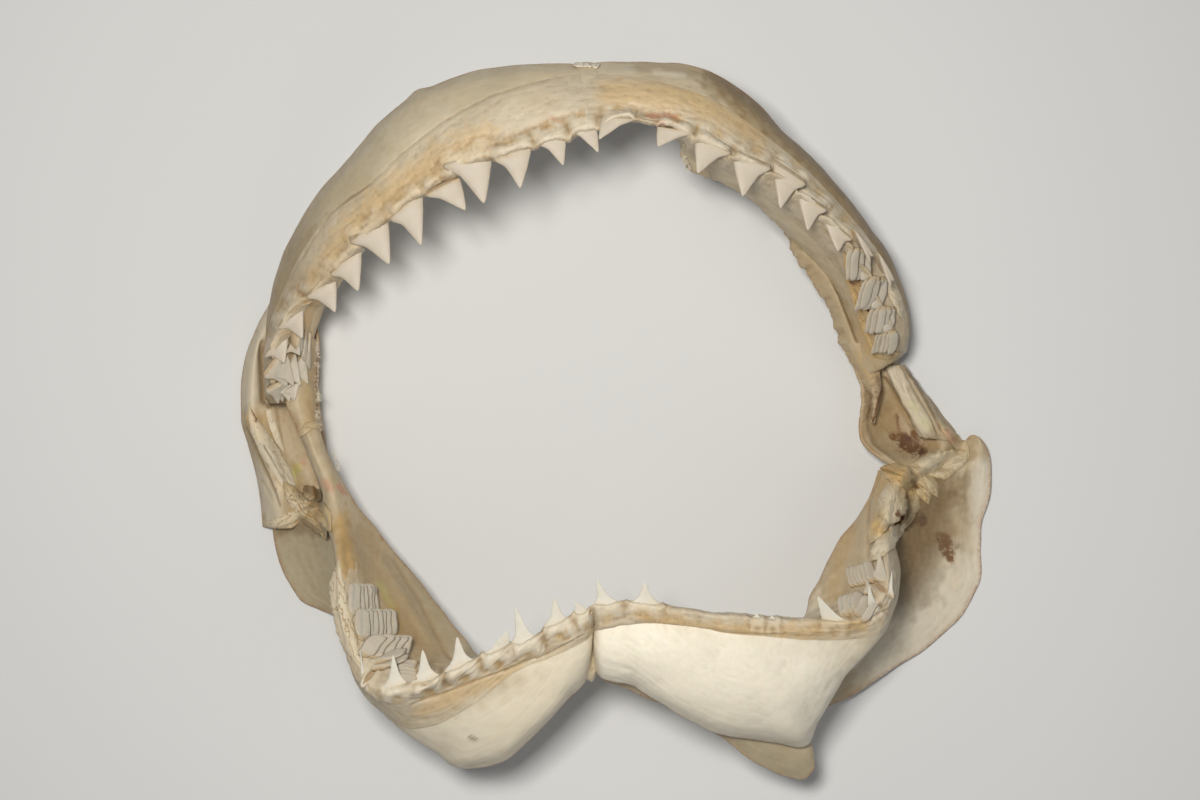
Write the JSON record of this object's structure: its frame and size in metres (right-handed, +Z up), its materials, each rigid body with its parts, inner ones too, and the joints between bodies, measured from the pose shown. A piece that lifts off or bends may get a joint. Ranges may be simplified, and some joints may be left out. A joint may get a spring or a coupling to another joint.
{
  "type": "dried shark jaws",
  "caption": "Dried, wide-open jaws of a large requiem shark with teeth in both rows, lying on the hinge side as a still life-size display piece.",
  "frame": {"origin": "middle of the jaw's footprint, on the surface that it lies on", "axes": "+Z up through the open gape, towards the viewer of the picture; +Y towards the upper jaw; +X towards the viewer's right"},
  "size_m": [0.3799, 0.3412, 0.1164],
  "materials": {
    "cartilage": "dried calcified cartilage, ivory, satin",
    "gum": "dried gum tissue, honey brown, waxy and wrinkled",
    "ligament": "dried ligament and joint tissue, tan, rough",
    "enamel": "tooth enamel, off-white, glossy"
  },
  "bodies": {
    "root": {"upper_left_cartilage": "cartilage", "upper_right_cartilage": "cartilage", "lower_left_cartilage": "cartilage", "lower_right_cartilage": "cartilage", "upper_left_gum_teeth": "gum", "upper_right_gum_teeth": "gum", "lower_left_gum_teeth": "gum", "lower_right_gum_teeth": "gum", "upper_symphysis": "ligament", "lower_symphysis": "ligament", "left_joint_tissue": "ligament", "right_joint_tissue": "ligament"}
  },
  "joints": []
}
